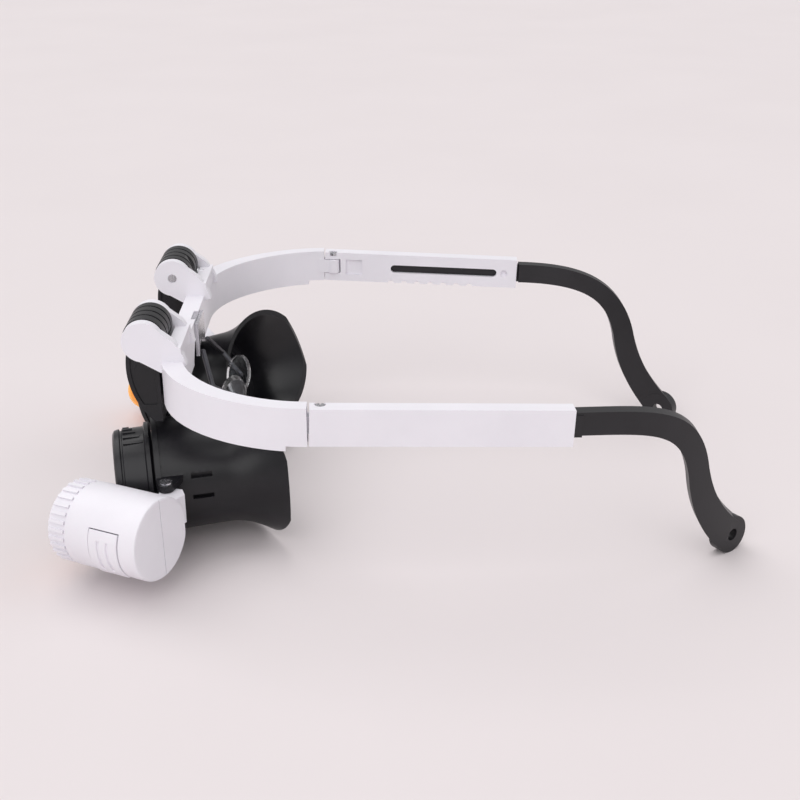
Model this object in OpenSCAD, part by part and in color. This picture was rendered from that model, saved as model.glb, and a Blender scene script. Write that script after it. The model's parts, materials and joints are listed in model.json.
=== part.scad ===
// Head visor magnifier: flip-up twin loupes on a folding spectacle frame, a cell-powered lamp beside each.
// Design frame: X across the head (+X is the wearer's left), -Y forward, +Z up, origin on the middle
// plane at the temple seams. place() then stands the object on z = 0, centred in X and Y.

/* [Frame] */
// Half the width across the temples at their seams
half_w = 77.5; // [76.5:0.5:79]
// Height of the brow band
band_h = 12.8; // [12:0.2:14]
// Thickness of the band and the temples
band_t = 5; // [4.8:0.1:5.6]
// Distance from the temple seams to the front face of the brow
brow_reach = 45; // [45:0.5:47]

/* [Temples] */
// Length of a white temple
temple_len = 73.7; // [72:0.5:78]
// Height of a white temple
temple_h = 10.9; // [10.8:0.1:12]
// Inward lean of a temple, in degrees
temple_toe = 2.9; // [2:0.1:3.5]
// Rearward drop of a temple, in degrees
temple_drop = 2.1; // [1.5:0.1:2.5]

/* [Loupes] */
// Distance of each loupe's flip arm from the middle plane
fork_x = 31; // [30:0.5:32]
// Radius of the flange at the front of a loupe tube
flange_r = 18.5; // [18.3:0.1:18.7]
// Radius of the waist of a loupe tube
waist_r = 17.2; // [16.8:0.1:17.4]
// Outward turn of each loupe, in degrees
loupe_toe = 11; // [9:0.5:12]
// Upward tilt of the left eyecup, in degrees
left_tilt = 0; // [0:1:3]
// Upward tilt of the right eyecup, in degrees
right_tilt = 19; // [16:0.5:20]

/* [Lamps] */
// Radius of a lamp housing
lamp_r = 12.4; // [12.2:0.1:12.5]

/* [Hidden] */
$fn = 64;

// Where the resting surface and the middle of the object's length lie in the design frame
floor_z = -63.4;
mid_y = 27.9;

eps = 0.02;
big = 200;

white = [0.93, 0.92, 0.94];
black = [0.10, 0.10, 0.11];
steel = [0.75, 0.75, 0.77];
amber = [1.0, 0.62, 0.08];
clear = [0.85, 0.9, 0.95, 0.4];

// Band and temples share one top plane
band_top = -1.8;
band_bottom = band_top - band_h;
temple_top = -2.1;

// Flip hinge
roller_y = -49.4;
roller_z = 4.3;
roller_r = 6.3;
fork_half = 11;
ear_t = 3;
ear_r = 6.1;
arm_half = fork_half - ear_t - 0.35;
flip_pin_r = 1.5;
run = 0.05;

// Flip arm: the curved front edge is part of one circle
arm_arc_y = -31;
arm_arc_z = -5;
arm_arc_r = 24.4;
arm_back_y = -brow_reach - 0.5;
arm_low = -22.4;

// The arm's leg runs down the nose side of the tube to the pin that the loupe tilts on
tilt_y = -49.4;
tilt_z = -42;
tilt_pin_r = 1.5;
leg_x = 10.2;
leg_t = 3;
leg_half = 3;
pin_end_x = 18.3;

// Loupe tube, from its flange back; y runs along the tube
tube_x = 33;
tube_y = -50.2;
tube_z = -43;
tube_pitch = 1.2;
waist_y = 21.8;
flare_y = 39;
flare_r = 24.2;
mouth_y = 31;
mouth_slant = 20;
wall = 1.6;
thread_r = 13.6;
barrel_r = 15.3;
barrel_len = 12;
lip_r = 16.8;
lens_r = 12.2;
eye_lens_y = 17.4;

// Lamp: pin on the tube's outer side, cap centre and direction of the beam
pin_x = 53.2;
pin_y = -43.6;
clip_low = -47.9;
clip_high = -38.1;
clip_t = 2.1;
clip_r = 2.4;
lamp_pin_r = 1.1;
cap_x = 71.9;
cap_y = -42.8;
cap_z = -44.4;
lamp_yaw = -28;
lamp_pitch = 1.3;
lamp_flat = lamp_r - 1.1;
housing_len = 24.7;
cap_t = 2.2;
collar_len = 7;
dome_r = 7.4;
shell_t = 1.5;
door_span = 38;
door_front = 16;
door_back = 6;

// Temple hinge
hinge_x = 73.4;
hinge_y = 3.6;
tongue_low = -10;
tongue_high = -5;
hinge_pin_r = 1;

// Temple tip: side view and plan view of its middle line
tip_start = temple_len + 0.3;
tip_t = 4;
hole_r = 2;
hole_x = 48.6;
hole_y = 127.4;
hole_z = -57.3;
hole_yaw = 35;
tip_pad_r = 6.1;
blade_front = 24;
blade_h = 6.6;
blade_t = 1.9;

// A point on a cubic curve through four control points
function bez(p, t) =
  p[0] * pow(1 - t, 3) + p[1] * 3 * t * pow(1 - t, 2) + p[2] * 3 * t * t * (1 - t) + p[3] * pow(t, 3);

// The direction of travel there
function bez_dir(p, t) =
  let (d = (p[1] - p[0]) * pow(1 - t, 2) + (p[2] - p[1]) * 2 * t * (1 - t) + (p[3] - p[2]) * t * t)
  d / norm(d);

// Points beside a curve, w to its left
function beside(p, w, n) = [for (i = [0:n]) bez(p, i / n) + w * [-bez_dir(p, i / n)[1], bez_dir(p, i / n)[0]]];

function reversed(v) = [for (i = [len(v) - 1:-1:0]) v[i]];

function flip_x(v) = [for (p = v) [-p[0], p[1]]];

// ---- placing ----

module place() {
  translate([0, -mid_y, -floor_z])
    children();
}

module side(s) {
  if (s > 0)
    children();
  else
    mirror([1, 0, 0])
      children();
}

// Turns a loupe and what it carries about its tilt pin
module tilted(s) {
  translate([0, tilt_y, tilt_z])
    rotate([s > 0 ? left_tilt : right_tilt, 0, 0])
      translate([0, -tilt_y, -tilt_z])
        children();
}

// The tube's own frame: y runs back along the tube from the flange
module in_tube() {
  translate([tube_x, tube_y, tube_z])
    rotate([tube_pitch, 0, loupe_toe])
      children();
}

// The lamp's own frame: y = 0 on the cap, the beam goes towards -y
module in_lamp() {
  translate([cap_x, cap_y, cap_z])
    rotate([lamp_pitch, 0, lamp_yaw])
      children();
}

// The temple's own frame: y runs back along it, z = 0 on its top
module in_temple() {
  translate([half_w - band_t / 2, 0, temple_top])
    rotate([-temple_drop, 0, 0])
      rotate([0, 0, temple_toe])
        children();
}

// A ring or disc about the y axis
module disc_y(r, y0, y1) {
  translate([0, y0, 0])
    rotate([-90, 0, 0])
      cylinder(r = r, h = y1 - y0);
}

module ring_y(r_out, r_in, y0, y1) {
  difference() {
    disc_y(r_out, y0, y1);
    disc_y(r_in, y0 - 1, y1 + 1);
  }
}

// A bar along X
module rod_x(r, x0, x1, y, z) {
  translate([x0, y, z])
    rotate([0, 90, 0])
      cylinder(r = r, h = x1 - x0);
}

// Turns a profile of [radius, along] points about the y axis
module lathe_y(points) {
  rotate([-90, 0, 0])
    rotate_extrude()
      polygon(points);
}

// Extrudes a [y, z] outline along X
module plate_x(points, x0, x1) {
  translate([x0, 0, 0])
    rotate([90, 0, 90])
      linear_extrude(height = x1 - x0)
        polygon(points);
}

// ---- front frame ----

band_outer = [[half_w, 0], [half_w, -20], [60, -brow_reach], [34, -brow_reach]];
band_inner = [[half_w - band_t, 0], [half_w - band_t, -17], [57, -brow_reach + 6], [33, -brow_reach + 6]];

module band_plan() {
  outer = [for (i = [0:16]) bez(band_outer, i / 16)];
  inner = [for (i = [0:16]) bez(band_inner, i / 16)];
  polygon(concat(outer, reversed(flip_x(outer)), flip_x(inner), reversed(inner)));
}

// One lug of a fork: a round eye on a leg that runs back to the brow
module ear(x0) {
  leg = [
    [roller_y + 1.6, roller_z + 5.9], [-40.2, 4.4], [-37.6, 0], [-36.8, band_top - 1],
    [-brow_reach + 0.6, band_top - 3.4], [roller_y - 4.7, roller_z - 3.9]
  ];
  plate_x(leg, x0, x0 + ear_t);
  rod_x(ear_r, x0, x0 + ear_t, roller_y, roller_z);
}

module fork() {
  ear(fork_x - fork_half);
  ear(fork_x + fork_half - ear_t);
  translate([fork_x - fork_half, -42.4, band_top - 1])
    cube([2 * fork_half, 4.2, 5.4]);
}

module hinge_tongue() {
  difference() {
    translate([0, 0, tongue_low])
      linear_extrude(height = tongue_high - tongue_low) {
        translate([hinge_x, hinge_y])
          circle(r = 2.3);
        translate([hinge_x - 1.2, -2])
          square([3.5, hinge_y + 2]);
      }
    translate([hinge_x, hinge_y, tongue_low - 1])
      cylinder(r = hinge_pin_r + run, h = 8);
  }
}

module front_frame() {
  nose_r = 13;
  color(white)
    difference() {
      union() {
        translate([0, 0, band_bottom])
          linear_extrude(height = band_h)
            band_plan();
        for (s = [-1, 1])
          side(s) {
            fork();
            hinge_tongue();
          }
      }
      // arch over the nose
      translate([0, -brow_reach - 5, band_bottom - 4.5])
        rotate([-90, 0, 0])
          cylinder(r = nose_r, h = 20);
      // holes for the flip pins
      for (s = [-1, 1])
        side(s)
          rod_x(flip_pin_r, fork_x - fork_half - 1, fork_x + fork_half - 1.2, roller_y, roller_z);
      // holes for the pegs behind the rollers
      for (s = [-1, 1])
        side(s)
          translate([fork_x + 4.6, peg_y, peg_z])
            rotate([-90, 0, 0])
              cylinder(r = peg_r, h = 2.4);
      // the band's ends step down to meet the temples
      for (s = [-1, 1])
        side(s)
          translate([half_w - 2 * band_t, -6, band_bottom - 2])
            cube([3 * band_t, 6 + eps, 3.5]);
      // slot for the nose bracket
      translate([-4.1, -brow_reach + 4.6, -5.5])
        cube([8.2, 4, 4.5]);
    }
}

module flip_pins() {
  color(steel)
    for (s = [-1, 1])
      side(s)
        rod_x(flip_pin_r, fork_x - fork_half + 0.3, fork_x + fork_half - 1.2, roller_y, roller_z);
}

// Small pegs behind the rollers that hold the arms up or down
peg_r = 0.8;
peg_y = roller_y + roller_r + 0.15;
peg_z = roller_z - 2.4;

module detent_pins() {
  color([0.45, 0.47, 0.5])
    for (s = [-1, 1])
      side(s)
        translate([fork_x + 4.6, peg_y, peg_z])
          rotate([-90, 0, 0]) {
            cylinder(r = peg_r, h = 2.4);
            cylinder(r = 1.3, h = 0.4);
          }
}

// Screws that pin the temples to the band
module temple_screws() {
  color(steel)
    for (s = [-1, 1])
      side(s)
        translate([hinge_x, hinge_y, 0])
          difference() {
            union() {
              translate([0, 0, temple_top - temple_h + 0.6])
                cylinder(r = hinge_pin_r, h = temple_h - 1.4);
              translate([0, 0, temple_top - 1.2])
                cylinder(r = 1.5, h = 0.8);
            }
            translate([-2, -0.25, temple_top - 0.8])
              cube([4, 0.5, 1]);
          }
}

// ---- nose pads ----

pad_x = 8.4;
pad_y = -27.4;
pad_z = -26;
pad_yaw = 24;
pad_lean = 16;
pad_t = 2.4;
pad_long = 6.6;
pad_wide = 4;

module nose_bracket() {
  plate_y = -brow_reach + 6.1;
  color(steel) {
    difference() {
      translate([-7, plate_y, -13.4])
        cube([14, 1.2, 11]);
      translate([0, plate_y - 1, -17.5])
        rotate([-90, 0, 0])
          cylinder(r = 8, h = 4);
      for (x = [-4.6, 4.6], z = [-11.6, -8.6])
        translate([x, plate_y - 1, z])
          rotate([-90, 0, 0])
            cylinder(r = 0.6, h = 4);
    }
    // tongue that plugs into the brow
    translate([-4, -brow_reach + 4.7, -5.4])
      cube([8, 1.5, 3.4]);
  }
}

// Wire arms from the bracket to the pads
module nose_pad_arms() {
  wire_r = 0.8;
  color([0.3, 0.3, 0.32])
    for (s = [-1, 1])
      side(s) {
        start = [6, -brow_reach + 8.2, -12.2];
        elbow = [pad_x + 6.9, pad_y - 5.8, pad_z + 5.4];
        reach = pad_t / 2 + wire_r + 0.15;
        end = [
          pad_x + reach * cos(pad_lean) * cos(pad_yaw), pad_y + reach * cos(pad_lean) * sin(pad_yaw),
          pad_z - reach * sin(pad_lean)
        ];
        wire(start, elbow, wire_r);
        wire(elbow, end, wire_r);
        for (joint = [start, elbow, end])
          translate(joint)
            sphere(r = wire_r + 0.05, $fn = 24);
      }
}

// A straight round wire between two points
module wire(a, b, r) {
  d = b - a;
  translate(a)
    rotate([0, acos(d[2] / norm(d)), atan2(d[1], d[0])])
      cylinder(r = r, h = norm(d));
}

module nose_pad(s) {
  color(clear)
    side(s)
      translate([pad_x, pad_y, pad_z])
        rotate([0, 0, pad_yaw])
          rotate([0, pad_lean, 0])
            rotate([0, 90, 0])
              linear_extrude(height = pad_t, center = true)
                polygon([for (a = [0:10:350]) [pad_long * cos(a), pad_wide * sin(a)]]);
}

// ---- flip arms ----

module flip_arm(s) {
  face = fork_x + arm_half;
  rim = 1.3;
  bridge_h = 5;
  color(black)
    side(s)
      difference() {
        union() {
          rod_x(roller_r, fork_x - arm_half, face, roller_y, roller_z);
          intersection() {
            rod_x(arm_arc_r, fork_x - arm_half, face, arm_arc_y, arm_arc_z);
            translate([0, -60, arm_low])
              cube([80, 60 + arm_back_y, roller_z - arm_low]);
          }
          // bridge across to the leg
          translate([leg_x, tilt_y - leg_half + 2, arm_low])
            cube([fork_x - arm_half - leg_x + 1, 2 * leg_half - 2.2, bridge_h]);
          translate([leg_x, tilt_y - leg_half, tilt_z])
            cube([leg_t, 2 * leg_half, arm_low + bridge_h - tilt_z]);
          rod_x(leg_half, leg_x, leg_x + leg_t, tilt_y, tilt_z);
        }
        // grooves round the roller
        for (x = [-4.6, -0.6, 3.4])
          difference() {
            rod_x(roller_r + 1, fork_x + x, fork_x + x + 0.8, roller_y, roller_z);
            rod_x(roller_r - 0.8, fork_x + x - 1, fork_x + x + 2, roller_y, roller_z);
            translate([0, -80, roller_z - 20])
              cube([80, 80, 18]);
          }
        // sunk side faces inside a raised rim
        for (x = [fork_x - arm_half - 1, face - 0.5])
          intersection() {
            rod_x(arm_arc_r - rim, x, x + 1.5, arm_arc_y, arm_arc_z);
            translate([0, -60, arm_low + bridge_h + 0.6])
              cube([80, 60 + arm_back_y - rim, roller_z - 6 - arm_low]);
          }
        rod_x(flip_pin_r + run, fork_x - arm_half - 1, 80, roller_y, roller_z);
        rod_x(tilt_pin_r, leg_x - 1, leg_x + leg_t + 1, tilt_y, tilt_z);
      }
}

module tilt_pin(s) {
  color(steel)
    side(s)
      rod_x(tilt_pin_r, leg_x, pin_end_x, tilt_y, tilt_z);
}

// ---- loupe ----

// Radius of the tube's outside, from the waist back to the flare
flare = [[waist_r, waist_y], [waist_r, waist_y + 5], [waist_r + 1.6, waist_y + 9], [flare_r, flare_y]];
taper = [[flange_r - 0.5, 1.6], [flange_r - 0.7, 8], [waist_r + 0.3, waist_y - 8], [waist_r, waist_y]];

module tube_shell() {
  steps = 10;
  outside = concat(
    [[flange_r, 0], [flange_r, 1.6]],
    [for (i = [0:steps]) bez(taper, i / steps)],
    [for (i = [1:steps]) bez(flare, i / steps)]
  );
  inside = concat(
    [for (i = [steps:-1:0]) bez(flare, i / steps) - [wall, 0]],
    [[waist_r - wall, eye_lens_y + 2.4], [lens_r + 0.1, eye_lens_y + 2.4], [lens_r + 0.1, eye_lens_y - 2.4],
     [lens_r - 1, eye_lens_y - 2.4], [lens_r - 1, 11], [thread_r + run, 8], [thread_r + run, 0]]
  );
  difference() {
    lathe_y([for (p = concat(outside, inside)) [p[0], p[1]]]);
    // the mouth is cut on a slant: longest on the temple side
    translate([0, mouth_y, 0])
      rotate([0, 0, mouth_slant])
        translate([-big / 2, 0, -big / 2])
          cube([big, big, big]);
  }
}

// Two lugs on the outer side, with the lamp's screw through both
module lamp_clip() {
  for (z = [clip_low - clip_t, clip_high])
    difference() {
      translate([0, 0, z])
        linear_extrude(height = clip_t) {
          translate([pin_x, pin_y]) {
            circle(r = clip_r);
            polygon([[-6, -4.2], [-3, -3.6], [0.8, -2.2], [0.8, 2.2], [-3, 3.8], [-6, 4.4]]);
          }
        }
      in_tube()
        disc_y(flange_r - 1.4, -20, 40);
    }
}

module loupe_tube(s) {
  slot_x = 15.4;
  color(black)
    side(s)
      tilted(s)
        difference() {
          union() {
            in_tube()
              tube_shell();
            lamp_clip();
          }
          rod_x(tilt_pin_r + run, 0, pin_end_x + 0.3, tilt_y, tilt_z);
          translate([pin_x, pin_y, -80])
            cylinder(r = lamp_pin_r, h = 60);
          // two blind slots along the side
          for (z = [5.4, -1.2])
            in_tube()
              translate([slot_x, 10.4, z])
                cube([5, 6.4, 1.5]);
        }
}

// A lens with two bulging faces
module lens(r, edge, bulge) {
  steps = 8;
  k = (r * r + bulge * bulge) / (2 * bulge);
  face = [for (i = [0:steps]) let (x = r * i / steps) [x, edge / 2 + bulge - k + sqrt(k * k - x * x)]];
  color(clear)
    lathe_y(concat(face, [for (p = reversed(face)) [p[0], -p[1]]]));
}

module eye_lens(s) {
  side(s)
    tilted(s)
      in_tube()
        translate([0, eye_lens_y - 0.6, 0])
          lens(lens_r, 1.4, 1);
}

module eye_lens_ring(s) {
  color(black)
    side(s)
      tilted(s)
        in_tube()
          ring_y(lens_r, lens_r - 1.5, eye_lens_y + 0.6, eye_lens_y + 2.2);
}

module front_barrel(s) {
  ribs = 5;
  color([0.12, 0.12, 0.13])
    side(s)
      tilted(s)
        in_tube()
          union() {
              lathe_y([
                [barrel_r - 1.3, -barrel_len], [barrel_r - 0.3, -barrel_len + 0.6], [barrel_r, -barrel_len + 1.6],
                [barrel_r, -barrel_len + 2.1], [barrel_r - 0.5, -barrel_len + 2.3],
                [barrel_r - 0.5, -barrel_len + 2.8], [barrel_r, -barrel_len + 3], [barrel_r + 0.3, -2.6],
                [lip_r, -2.2], [lip_r, -1], [lip_r - 1, -0.3], [thread_r, -0.3], [thread_r, 7.6],
                [thread_r - 1.8, 7.6], [thread_r - 1.8, -1.6], [lens_r + 0.1, -1.6], [lens_r + 0.1, -7.4],
                [lens_r - 0.8, -7.4], [barrel_r - 2.4, -barrel_len]
              ]);
              // three groups of grip ribs, each rib a little longer than the last
              for (group = [0:2], i = [0:ribs - 1])
                rotate([0, 120 * group + 12 + 10 * i, 0])
                  translate([barrel_r - 0.4, -barrel_len + 3.2, -0.5])
                    cube([0.85, 2 + i, 1]);
          }
}

module front_lens(s) {
  side(s)
    tilted(s)
      in_tube()
        translate([0, -5.2, 0])
          lens(lens_r, 1.4, 1.2);
}

module front_lens_ring(s) {
  color(black)
    side(s)
      tilted(s)
        in_tube()
          ring_y(lens_r, lens_r - 1.6, -3.8, -1.8);
}

// ---- lamp ----

module lamp_screw(s) {
  color(steel)
    side(s)
      tilted(s)
        translate([pin_x, pin_y, 0]) {
          translate([0, 0, clip_low - clip_t])
            cylinder(r = lamp_pin_r, h = clip_high - clip_low + 2 * clip_t);
          translate([0, 0, clip_high + clip_t])
            difference() {
              cylinder(r = 1.9, h = 0.7);
              translate([-3, -0.3, 0.35])
                cube([6, 0.6, 1]);
            }
        }
}

// The side of the lamp that faces the loupe is flat
module lamp_round(r, y0, y1) {
  difference() {
    disc_y(r, y0, y1);
    translate([-lamp_flat - 10, y0 - 1, -20])
      cube([10, y1 - y0 + 2, 40]);
  }
}

// Arm between the tube's two lugs; its tail shows behind them
module lamp_arm() {
  arm_low_z = clip_low + 0.25;
  arm_h = clip_high - clip_low - 0.5;
  difference() {
    translate([pin_x, pin_y, arm_low_z])
      linear_extrude(height = arm_h) {
        circle(r = 2.2);
        polygon([[-2, -0.6], [-0.6, 4.6], [2.6, 5.7], [7.3, 2.6], [7.5, -5.9], [1.5, -1.8]]);
      }
    in_lamp()
      disc_y(lamp_r - shell_t, -40, -cap_t - 0.3);
    translate([pin_x, pin_y, -80])
      cylinder(r = lamp_pin_r + run, h = 60);
  }
}

module lamp_housing(s) {
  color(white)
    side(s)
      tilted(s) {
        in_lamp()
          difference() {
            lamp_round(lamp_r, -housing_len, -cap_t);
            disc_y(lamp_r - 3.4, -housing_len - 1, -cap_t + 1);
            // room for the battery door
            rotate([0, door_turn, 0])
              door_wedge(door_span + 1.6, lamp_r - 1.9, lamp_r + 5, door_back - 0.3, door_front + 0.3);
          }
        lamp_arm();
      }
}

// Which way the battery door faces, from the lamp's outer side
door_turn = 12;

// A block of a ring about y, span degrees wide, centred on +x
module door_wedge(span, r_in, r_out, y0, y1) {
  intersection() {
    ring_y(r_out, r_in, -y1, -y0);
    translate([0, -y1 - 1, 0])
      rotate([-90, 0, 0])
        linear_extrude(height = y1 - y0 + 2)
          polygon([
            [0, 0], 40 * [cos(span), sin(span)], [60, 0], 40 * [cos(span), -sin(span)]
          ]);
  }
}

module battery_door(s) {
  color(white)
    side(s)
      tilted(s)
        in_lamp()
          rotate([0, door_turn, 0])
            difference() {
              door_wedge(door_span, lamp_r - 1.7, lamp_r + 0.35, door_back, door_front);
              // finger grooves
              for (y = [9, 12.2])
                door_wedge(door_span - 14, lamp_r - 0.3, lamp_r + 2, y, y + 0.9);
            }
}

module lamp_cap(s) {
  color(white)
    side(s)
      tilted(s)
        in_lamp()
          difference() {
            intersection() {
              lamp_round(lamp_r, -cap_t, 0);
              lathe_y([[0, -cap_t], [lamp_r, -cap_t], [lamp_r, -0.7], [lamp_r - 0.25, -0.2], [lamp_r - 0.8, 0], [0, 0]]);
            }
            // parting line of the moulding
            translate([-0.9, -0.25, -20])
              cube([0.25, 1, 40]);
          }
}

module button_cells(s) {
  cell_r = 8;
  cell_h = 2;
  color(steel)
    side(s)
      tilted(s)
        in_lamp()
          for (i = [0, 1])
            lathe_y([
              [0, -9 - 2.1 * i], [cell_r, -9 - 2.1 * i], [cell_r, -9 - 2.1 * i + 1.5],
              [cell_r - 0.9, -9 - 2.1 * i + cell_h], [0, -9 - 2.1 * i + cell_h]
            ]);
}

// Leaf that presses the cells against the board's contact
module cell_contact(s) {
  color(steel)
    side(s)
      tilted(s)
        in_lamp() {
          ring_y(7, 5.4, -5.4, -4.8);
          disc_y(2, -6.9, -5.9);
          for (a = [0, 120, 240])
            rotate([0, a, 0])
              translate([1, -6.5, -0.6])
                cube([5.4, 0.6, 1.2]);
          for (a = [0, 120, 240])
            rotate([0, a, 0])
              translate([5.5, -6.5, -0.6])
                cube([0.9, 1.4, 1.2]);
        }
}

module lamp_board(s) {
  color([0.15, 0.4, 0.2])
    side(s)
      tilted(s)
        in_lamp() {
          disc_y(8.2, -housing_len + 1.2, -housing_len + 2.4);
          disc_y(2.5, -housing_len - 1.6, -housing_len + 1.2);
          translate([0, -housing_len - 1.6, 0])
            sphere(r = 2.5);
        }
}

module lamp_collar(s) {
  ribs = 30;
  color(white)
    side(s)
      tilted(s)
        in_lamp()
          translate([0, -housing_len - 0.3, 0])
            union() {
              lathe_y([
                [8.8, 0], [lamp_r - 0.7, 0], [lamp_r - 0.7, -collar_len + 1], [lamp_r - 1.5, -collar_len],
                [dome_r + 0.35, -collar_len], [dome_r + 0.35, -collar_len + 1.2], [8.8, -collar_len + 1.2]
              ]);
              for (i = [0:ribs - 1])
                rotate([0, 360 / ribs * i, 0])
                  translate([lamp_r - 1, -collar_len + 1.2, -0.5])
                    cube([0.9, collar_len - 1.6, 1]);
            }
}

module lamp_dome(s) {
  dome_y = -housing_len - collar_len + 0.6;
  color(amber)
    side(s)
      tilted(s)
        in_lamp()
          difference() {
            union() {
              translate([0, dome_y, 0])
                intersection() {
                  sphere(r = dome_r);
                  translate([-20, -20, -20])
                    cube([40, 20 + eps, 40]);
                }
              disc_y(dome_r, dome_y, dome_y + 1.4);
              disc_y(8.5, dome_y + 0.5, -housing_len + 0.9);
            }
            translate([0, dome_y, 0])
              sphere(r = dome_r - 1.2);
            disc_y(6.4, dome_y, -housing_len + 2);
          }
}

// ---- temples ----

module temple(s) {
  seam_gap = 0.7;
  slot_y = 27.2;
  slot_end = 64.6;
  slot_h = 3;
  steps = 7;
  color(white)
    side(s)
      difference() {
        in_temple()
          difference() {
            translate([-band_t / 2, seam_gap, -temple_h])
              cube([band_t, temple_len - seam_gap, temple_h]);
            // channel for the tip's blade, open at the back
            translate([-blade_t / 2 - 0.15, 18, -temple_h / 2 - blade_h / 2 - 0.2])
              cube([blade_t + 0.3, temple_len, blade_h + 0.4]);
            // slot in the inner face
            translate([-band_t, slot_y, -temple_h / 2 - slot_h / 2])
              cube([band_t, slot_end - slot_y, slot_h]);
            for (y = [slot_y, slot_end])
              translate([-band_t, y, -temple_h / 2])
                rotate([0, 90, 0])
                  cylinder(r = slot_h / 2, h = band_t);
            // sunk window in the inner face
            translate([-band_t, 8.6, -temple_h / 2 - 2.9])
              cube([band_t / 2 + 0.9, 6.2, 5.8]);
            // finger notches along the bottom
            for (i = [0:steps - 1])
              translate([-band_t, 26 + 5 * i, -temple_h - 0.1])
                rotate([0, 90, 0])
                  cylinder(r = 1.1, h = band_t);
            // dimple near the back
            translate([-band_t / 2, 68.8, -temple_h / 2])
              sphere(r = 1.3);
          }
        // gap for the band's tongue, and the screw's hole
        translate([0, 0, tongue_low - 0.2])
          linear_extrude(height = tongue_high - tongue_low + 0.4) {
            translate([hinge_x, hinge_y])
              circle(r = 2.6);
            translate([hinge_x - 5, -1])
              square([7.6, hinge_y + 1]);
            translate([hinge_x - 5, 0])
              square([5, hinge_y + 2.6]);
          }
        translate([hinge_x, hinge_y, -30])
          cylinder(r = hinge_pin_r + run, h = 40);
        translate([hinge_x, hinge_y, temple_top - 1.3])
          cylinder(r = 1.6, h = 5);
      }
}

side_bend = [[tip_start, -9.8], [99, -10.1], [109.4, -13.2], [113.2, -31]];
side_drop = [[113.2, -31], [115, -39.5], [118, -47.5], [hole_y, hole_z]];
plan_bend = [[70.2, tip_start - 4], [69, 96], [61.4, 110], [hole_x - 2, hole_y + 3]];
tip_high = 3.6;
tip_low = -3.4;
tip_spread = 1.3;

// The tip's side view, a little wider towards the strap hole
module tip_profile() {
  n = 24;
  high = concat(
    beside(side_bend, tip_high, n),
    [for (i = [1:n]) beside(side_drop, tip_high + tip_spread * i / n, n)[i]]
  );
  low = concat(
    beside(side_bend, tip_low, n),
    [for (i = [1:n]) beside(side_drop, tip_low - tip_spread * i / n, n)[i]]
  );
  polygon(concat(high, reversed(low)));
}

module temple_tip(s) {
  n = 32;
  color(black)
    side(s)
      difference() {
        union() {
          intersection() {
            rotate([90, 0, 90])
              linear_extrude(height = big)
                tip_profile();
            translate([0, 0, -90])
              linear_extrude(height = 100)
                polygon(concat(beside(plan_bend, tip_t / 2, n), reversed(beside(plan_bend, -tip_t / 2, n))));
          }
          translate([hole_x, hole_y, hole_z])
            rotate([0, 0, hole_yaw])
              rod_x(tip_pad_r, -tip_t / 2, tip_t / 2, 0, 0);
          in_temple()
            translate([-blade_t / 2, blade_front, -temple_h / 2 - blade_h / 2])
              cube([blade_t, temple_len - blade_front + 2.6, blade_h]);
        }
        translate([hole_x, hole_y, hole_z])
          rotate([0, 0, hole_yaw])
            rod_x(hole_r, -20, 20, 0, 0);
      }
}

// ---- the assembly ----

place() front_frame();
place() flip_pins();
place() detent_pins();
place() temple_screws();
place() nose_bracket();
place() nose_pad_arms();
place() nose_pad(1);  // left_nose_pad
place() nose_pad(-1);  // right_nose_pad
place() flip_arm(1);  // left_flip_arm
place() tilt_pin(1);  // left_tilt_pin
place() loupe_tube(1);  // left_loupe_tube
place() eye_lens(1);  // left_eye_lens
place() eye_lens_ring(1);  // left_eye_lens_ring
place() front_barrel(1);  // left_front_barrel
place() front_lens(1);  // left_front_lens
place() front_lens_ring(1);  // left_front_lens_ring
place() lamp_screw(1);  // left_lamp_screw
place() lamp_housing(1);  // left_lamp_housing
place() lamp_cap(1);  // left_lamp_cap
place() battery_door(1);  // left_battery_door
place() button_cells(1);  // left_button_cells
place() cell_contact(1);  // left_cell_contact
place() lamp_board(1);  // left_lamp_board
place() lamp_collar(1);  // left_lamp_collar
place() lamp_dome(1);  // left_lamp_dome
place() temple(1);  // left_temple
place() temple_tip(1);  // left_temple_tip
place() flip_arm(-1);  // right_flip_arm
place() tilt_pin(-1);  // right_tilt_pin
place() loupe_tube(-1);  // right_loupe_tube
place() eye_lens(-1);  // right_eye_lens
place() eye_lens_ring(-1);  // right_eye_lens_ring
place() front_barrel(-1);  // right_front_barrel
place() front_lens(-1);  // right_front_lens
place() front_lens_ring(-1);  // right_front_lens_ring
place() lamp_screw(-1);  // right_lamp_screw
place() lamp_housing(-1);  // right_lamp_housing
place() lamp_cap(-1);  // right_lamp_cap
place() battery_door(-1);  // right_battery_door
place() button_cells(-1);  // right_button_cells
place() cell_contact(-1);  // right_cell_contact
place() lamp_board(-1);  // right_lamp_board
place() lamp_collar(-1);  // right_lamp_collar
place() lamp_dome(-1);  // right_lamp_dome
place() temple(-1);  // right_temple
place() temple_tip(-1);  // right_temple_tip
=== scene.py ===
import json
import math

import bpy
from mathutils import Matrix, Vector

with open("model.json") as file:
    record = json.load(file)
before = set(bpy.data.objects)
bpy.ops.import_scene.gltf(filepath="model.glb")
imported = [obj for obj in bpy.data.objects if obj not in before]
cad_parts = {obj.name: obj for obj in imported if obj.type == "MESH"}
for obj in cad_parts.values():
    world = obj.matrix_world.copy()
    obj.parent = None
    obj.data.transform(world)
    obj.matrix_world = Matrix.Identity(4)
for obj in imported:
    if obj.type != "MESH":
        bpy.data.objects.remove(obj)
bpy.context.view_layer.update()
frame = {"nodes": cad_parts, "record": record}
nodes = frame["nodes"]

MM = 0.001

# a noise texture's values bunch between these two
NOISE_LOW = 0.3
NOISE_HIGH = 0.7


# ---- node helpers ----

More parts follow.
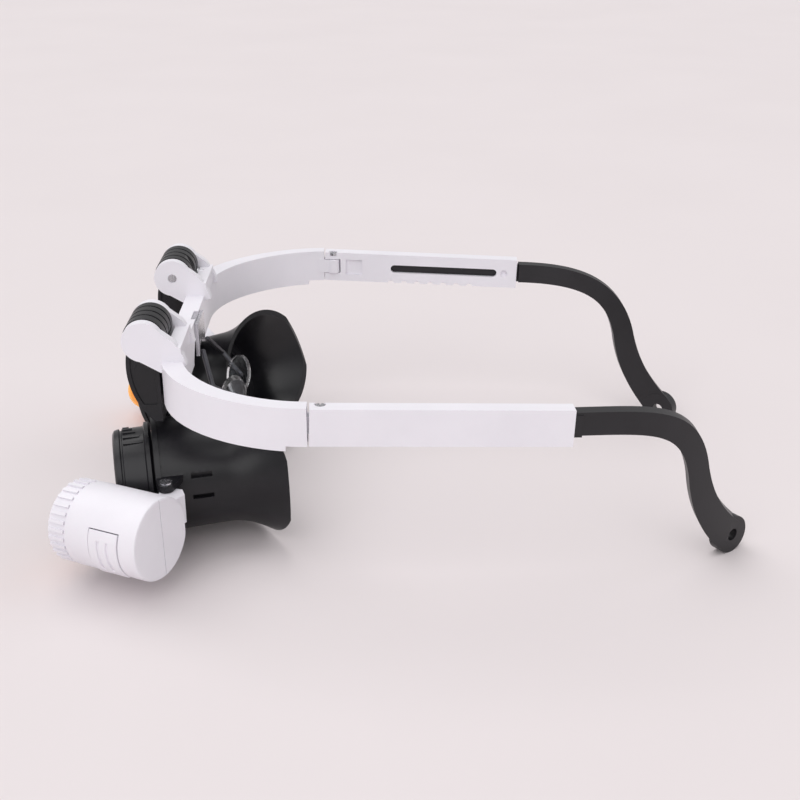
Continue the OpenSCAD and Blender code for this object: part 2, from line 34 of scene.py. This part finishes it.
def blank(name):
    """A new material: the material, its node tree, its Principled shader and its coordinates in metres."""
    mat = bpy.data.materials.new(name)
    mat.use_nodes = True
    tree = mat.node_tree
    shader = next(n for n in tree.nodes if n.type == "BSDF_PRINCIPLED")
    coords = tree.nodes.new("ShaderNodeTexCoord")
    return mat, tree, shader, coords.outputs["Object"]


def noise(tree, coords, scale, detail=4.0, rough=0.55, stretch=None):
    """A noise texture, stretched along the object's axes if asked."""
    if stretch:
        mapping = tree.nodes.new("ShaderNodeMapping")
        mapping.inputs["Scale"].default_value = stretch
        tree.links.new(coords, mapping.inputs["Vector"])
        coords = mapping.outputs["Vector"]
    tex = tree.nodes.new("ShaderNodeTexNoise")
    tex.inputs["Scale"].default_value = scale
    tex.inputs["Detail"].default_value = detail
    tex.inputs["Roughness"].default_value = rough
    tree.links.new(coords, tex.inputs["Vector"])
    return tex.outputs["Fac"]


def spread(tree, value, low, high):
    """Maps a noise value to low..high."""
    node = tree.nodes.new("ShaderNodeMapRange")
    node.inputs["From Min"].default_value = NOISE_LOW
    node.inputs["From Max"].default_value = NOISE_HIGH
    node.inputs["To Min"].default_value = low
    node.inputs["To Max"].default_value = high
    tree.links.new(value, node.inputs["Value"])
    return node.outputs["Result"]


def blend_colour(tree, value, a, b, start=NOISE_LOW, end=NOISE_HIGH):
    """Colour a where the value is start or less, b where it is end or more."""
    ramp = tree.nodes.new("ShaderNodeValToRGB")
    for stop, position, colour in zip(ramp.color_ramp.elements, (start, end), (a, b)):
        stop.position = position
        stop.color = (*colour, 1)
    tree.links.new(value, ramp.inputs["Fac"])
    return ramp.outputs["Color"]


def bumps(tree, shader, heights):
    """Chains bump nodes: heights is a list of (value, strength, distance in metres)."""
    last = None
    for value, strength, distance in heights:
        node = tree.nodes.new("ShaderNodeBump")
        node.inputs["Strength"].default_value = strength
        node.inputs["Distance"].default_value = distance
        tree.links.new(value, node.inputs["Height"])
        if last:
            tree.links.new(last, node.inputs["Normal"])
        last = node.outputs["Normal"]
    tree.links.new(last, shader.inputs["Normal"])


def settings(shader, **values):
    """Sets sockets on the shader itself; Specular_IOR_Level stands for Specular IOR Level."""
    for socket, value in values.items():
        shader.inputs[socket.replace("_", " ")].default_value = value


# ---- materials ----

def plastic(name, dark, light, rough, grain, grain_depth, under=0.0):
    """Moulded plastic: cloudy colour, uneven gloss, a fine grain and very slight sink marks."""
    mat, tree, shader, coords = blank(name)
    cloud = noise(tree, coords, 55, 5)
    fine = noise(tree, coords, grain, 3, 0.6)
    sinks = noise(tree, coords, 26, 2)
    tree.links.new(blend_colour(tree, cloud, dark, light), shader.inputs["Base Color"])
    tree.links.new(spread(tree, cloud, rough - 0.05, rough + 0.06), shader.inputs["Roughness"])
    settings(
        shader,
        IOR=1.49,
        Specular_IOR_Level=0.4,
        Subsurface_Weight=under,
        Subsurface_Radius=(0.0016, 0.0012, 0.0014),
    )
    bumps(tree, shader, [(sinks, 0.35, 0.00006), (fine, 0.5, grain_depth)])
    return mat


def metal(name, colour, rough, along):
    """Turned or drawn metal: streaks along one axis and small pits."""
    mat, tree, shader, coords = blank(name)
    streak = noise(tree, coords, 900, 3, 0.6, along)
    pits = noise(tree, coords, 2600, 2)
    dull = [c * 0.8 for c in colour]
    bright = [min(1, c * 1.12) for c in colour]
    tree.links.new(blend_colour(tree, streak, dull, bright), shader.inputs["Base Color"])
    tree.links.new(spread(tree, streak, rough - 0.06, rough + 0.1), shader.inputs["Roughness"])
    settings(shader, Metallic=1)
    bumps(tree, shader, [(streak, 0.3, 0.00002), (pits, 0.2, 0.00001)])
    return mat


def glassy(name, tint, rough, coat):
    """Lens glass or clear soft plastic, with a thin bluish coating and faint smears."""
    mat, tree, shader, coords = blank(name)
    smear = noise(tree, coords, 120, 4, 0.6, (1, 0.35, 1))
    greyer = [c * 0.97 for c in tint]
    tree.links.new(blend_colour(tree, smear, greyer, tint), shader.inputs["Base Color"])
    tree.links.new(spread(tree, smear, rough, rough + 0.05), shader.inputs["Roughness"])
    settings(shader, Transmission_Weight=1, IOR=1.47, Coat_Weight=coat, Coat_Tint=(0.75, 0.85, 1, 1))
    bumps(tree, shader, [(smear, 0.08, 0.00002)])
    return mat


def dome_plastic(name):
    """Amber lamp plastic: deep orange seen square on, with a painted yellow sheen that lightens it towards
    the rim, faintly lit.
    """
    mat, tree, shader, coords = blank(name)
    facing = tree.nodes.new("ShaderNodeLayerWeight")
    facing.inputs["Blend"].default_value = 0.45
    cloud = noise(tree, coords, 160, 4)
    orange = (0.9, 0.25, 0.006)
    # painted rim sheen: the orange turns lighter yellow where the dome is seen edge on
    rim_sheen_yellow = (1.0, 0.56, 0.09)
    amber_with_rim_sheen = blend_colour(tree, facing.outputs["Facing"], orange, rim_sheen_yellow, 0.05, 0.75)
    tree.links.new(amber_with_rim_sheen, shader.inputs["Base Color"])
    tree.links.new(amber_with_rim_sheen, shader.inputs["Emission Color"])
    settings(
        shader,
        Emission_Strength=0.16,
        Transmission_Weight=0.25,
        Subsurface_Weight=0.35,
        Subsurface_Radius=(0.004, 0.002, 0.0006),
        IOR=1.5,
    )
    tree.links.new(spread(tree, cloud, 0.12, 0.2), shader.inputs["Roughness"])
    bumps(tree, shader, [(cloud, 0.15, 0.00003)])
    return mat


def circuit(name):
    """Green board with darker cells."""
    mat, tree, shader, coords = blank(name)
    cells = tree.nodes.new("ShaderNodeTexVoronoi")
    cells.inputs["Scale"].default_value = 420
    tree.links.new(coords, cells.inputs["Vector"])
    distance = cells.outputs["Distance"]
    green = blend_colour(tree, distance, (0.02, 0.12, 0.04), (0.06, 0.3, 0.1))
    tree.links.new(green, shader.inputs["Base Color"])
    settings(shader, Roughness=0.35)
    bumps(tree, shader, [(distance, 0.3, 0.00005)])
    return mat


def matt_paper(name):
    """The studio floor: matt, nearly even, with a trace of fibre."""
    mat, tree, shader, coords = blank(name)
    fibre = noise(tree, coords, 700, 4)
    cloud = noise(tree, coords, 6, 3)
    pale = blend_colour(tree, cloud, (0.745, 0.690, 0.697), (0.762, 0.707, 0.714))
    tree.links.new(pale, shader.inputs["Base Color"])
    settings(shader, Roughness=0.6, Specular_IOR_Level=0.2)
    bumps(tree, shader, [(fibre, 0.1, 0.00002)])
    return mat


finish = {
    "white_plastic": plastic(
        "white_moulding", (0.80, 0.78, 0.83), (0.84, 0.82, 0.87), 0.38, 2300, 0.000012, under=0.06
    ),
    "black_plastic": plastic(
        "black_moulding", (0.0055, 0.0053, 0.0068), (0.010, 0.0096, 0.0125), 0.33, 1500, 0.00002
    ),
    "barrel_black": plastic(
        "barrel_moulding", (0.006, 0.0058, 0.0075), (0.011, 0.0105, 0.0135), 0.3, 2100, 0.000015
    ),
    "tip_black": plastic(
        "tip_moulding", (0.011, 0.0103, 0.0122), (0.018, 0.0168, 0.0198), 0.38, 1900, 0.00002
    ),
    "steel": metal("bright_steel", (0.62, 0.62, 0.65), 0.24, (1, 1, 0.08)),
    "dark_steel": metal("blackened_wire", (0.09, 0.09, 0.1), 0.36, (1, 1, 0.1)),
    "lens_glass": glassy("lens_glass", (0.93, 0.96, 0.98), 0.01, 0.5),
    "clear_pad": glassy("pad_silicone", (0.86, 0.88, 0.9), 0.12, 0.0),
    "amber_dome": dome_plastic("amber_dome"),
    "board_green": circuit("circuit_board"),
}

# ---- the CAD's own solids: modifiers and materials only, their meshes stay as loaded ----

# the width of each moulding's softened edges, in millimetres
EDGE = {
    "front_frame": 0.55,
    "nose_bracket": 0.12,
    "temple_tip": 1.15,
    "temple": 0.4,
    "lamp_housing": 0.45,
    "lamp_cap": 0.35,
    "battery_door": 0.3,
    "lamp_collar": 0.2,
    "loupe_tube": 0.35,
    "flip_arm": 0.3,
    "front_barrel": 0.18,
    "nose_pad": 0.8,
}
SHARP = math.radians(32)
WELD_GAP = 0.004 * MM


def plain_shading():
    """A node group that sets a mesh's loaded normals aside and shades it smooth."""
    group = bpy.data.node_groups.new("plain_shading", "GeometryNodeTree")
    group.interface.new_socket("Geometry", in_out="INPUT", socket_type="NodeSocketGeometry")
    group.interface.new_socket("Geometry", in_out="OUTPUT", socket_type="NodeSocketGeometry")
    start = group.nodes.new("NodeGroupInput")
    drop = group.nodes.new("GeometryNodeRemoveAttribute")
    drop.inputs["Name"].default_value = "custom_normal"
    smooth = group.nodes.new("GeometryNodeSetShadeSmooth")
    end = group.nodes.new("NodeGroupOutput")
    group.links.new(start.outputs["Geometry"], drop.inputs["Geometry"])
    group.links.new(drop.outputs["Geometry"], smooth.inputs["Geometry"])
    group.links.new(smooth.outputs["Geometry"], end.inputs["Geometry"])
    return group


slot_of = {part["node"]: part["material_slot"] for part in frame["record"]["subparts"]}
shading = plain_shading()

for name, obj in nodes.items():
    kind = name.split("_", 1)[1] if name.startswith(("left_", "right_")) else name
    obj.data.materials.clear()
    obj.data.materials.append(finish[slot_of[name]])
    obj.modifiers.new("shading", "NODES").node_group = shading
    obj.modifiers.new("weld", "WELD").merge_threshold = WELD_GAP
    if kind in EDGE:
        bevel = obj.modifiers.new("edges", "BEVEL")
        bevel.width = EDGE[kind] * MM
        bevel.segments = 3
        bevel.limit_method = "ANGLE"
        bevel.angle_limit = SHARP
        bevel.use_clamp_overlap = True
        obj.modifiers.new("normals", "WEIGHTED_NORMAL").weight = 90
    else:
        obj.modifiers.new("creases", "EDGE_SPLIT").split_angle = SHARP


# ---- floor and light ----

def show(obj):
    bpy.context.scene.collection.objects.link(obj)
    return obj


def flat_floor(name, half_y, near_x, far_x, cells):
    """A finely divided flat floor."""
    verts, faces = [], []
    for i in range(cells + 1):
        x = near_x + (far_x - near_x) * i / cells
        for j in range(cells + 1):
            verts.append((x, half_y * (2 * j / cells - 1), 0.0))
    row = cells + 1
    for i in range(cells):
        for j in range(cells):
            k = i * row + j
            faces.append((k, k + row, k + row + 1, k + 1))
    mesh = bpy.data.meshes.new(name)
    mesh.from_pydata(verts, [], faces)
    return show(bpy.data.objects.new(name, mesh))


floor = flat_floor("floor", half_y=8.0, near_x=6.0, far_x=-14.0, cells=12)
floor.data.materials.append(matt_paper("pale_paper"))


def far_light(name, toward, power, softness, colour):
    """Even light from far off, from the direction toward; softness is its disc in degrees."""
    light = bpy.data.lights.new(name, "SUN")
    light.energy = power
    light.angle = math.radians(softness)
    light.color = colour
    obj = show(bpy.data.objects.new(name, light))
    obj.rotation_mode = "QUATERNION"
    obj.rotation_quaternion = Vector(toward).to_track_quat("Z", "Y")


far_light("key", (-0.3, -0.35, 1.0), 1.05, 55, (1.0, 0.99, 0.99))
far_light("fill", (1.0, -0.25, 0.85), 1.25, 65, (1.0, 0.99, 1.0))
far_light("edge", (-0.2, 1.0, 0.8), 0.3, 40, (0.97, 0.98, 1.0))

world = bpy.data.worlds.new("studio")
world.use_nodes = True
sky = next(n for n in world.node_tree.nodes if n.type == "BACKGROUND")
sky.inputs["Color"].default_value = (1.0, 0.99, 0.995, 1)
sky.inputs["Strength"].default_value = 0.5
bpy.context.scene.world = world

# ---- camera: at the left temple's side, looking down across the visor ----

CAMERA_PLACE = (0.38316, -0.01025, 0.19436)
AZIMUTH = math.radians(88.58)
ELEVATION = math.radians(23.1)

look = Vector((
    -math.sin(AZIMUTH) * math.cos(ELEVATION),
    math.cos(AZIMUTH) * math.cos(ELEVATION),
    -math.sin(ELEVATION),
))
right = Vector((math.cos(AZIMUTH), math.sin(AZIMUTH), 0))
above = right.cross(look)
lens = bpy.data.cameras.new("camera")
lens.lens = 55.76
lens.sensor_width = 36
lens.clip_start = 0.01
lens.clip_end = 20
camera = show(bpy.data.objects.new("camera", lens))
axes = Matrix((right, above, -look)).transposed()
camera.matrix_world = Matrix.Translation(CAMERA_PLACE) @ axes.to_4x4()
bpy.context.scene.camera = camera
bpy.context.scene.view_settings.view_transform = "Standard"
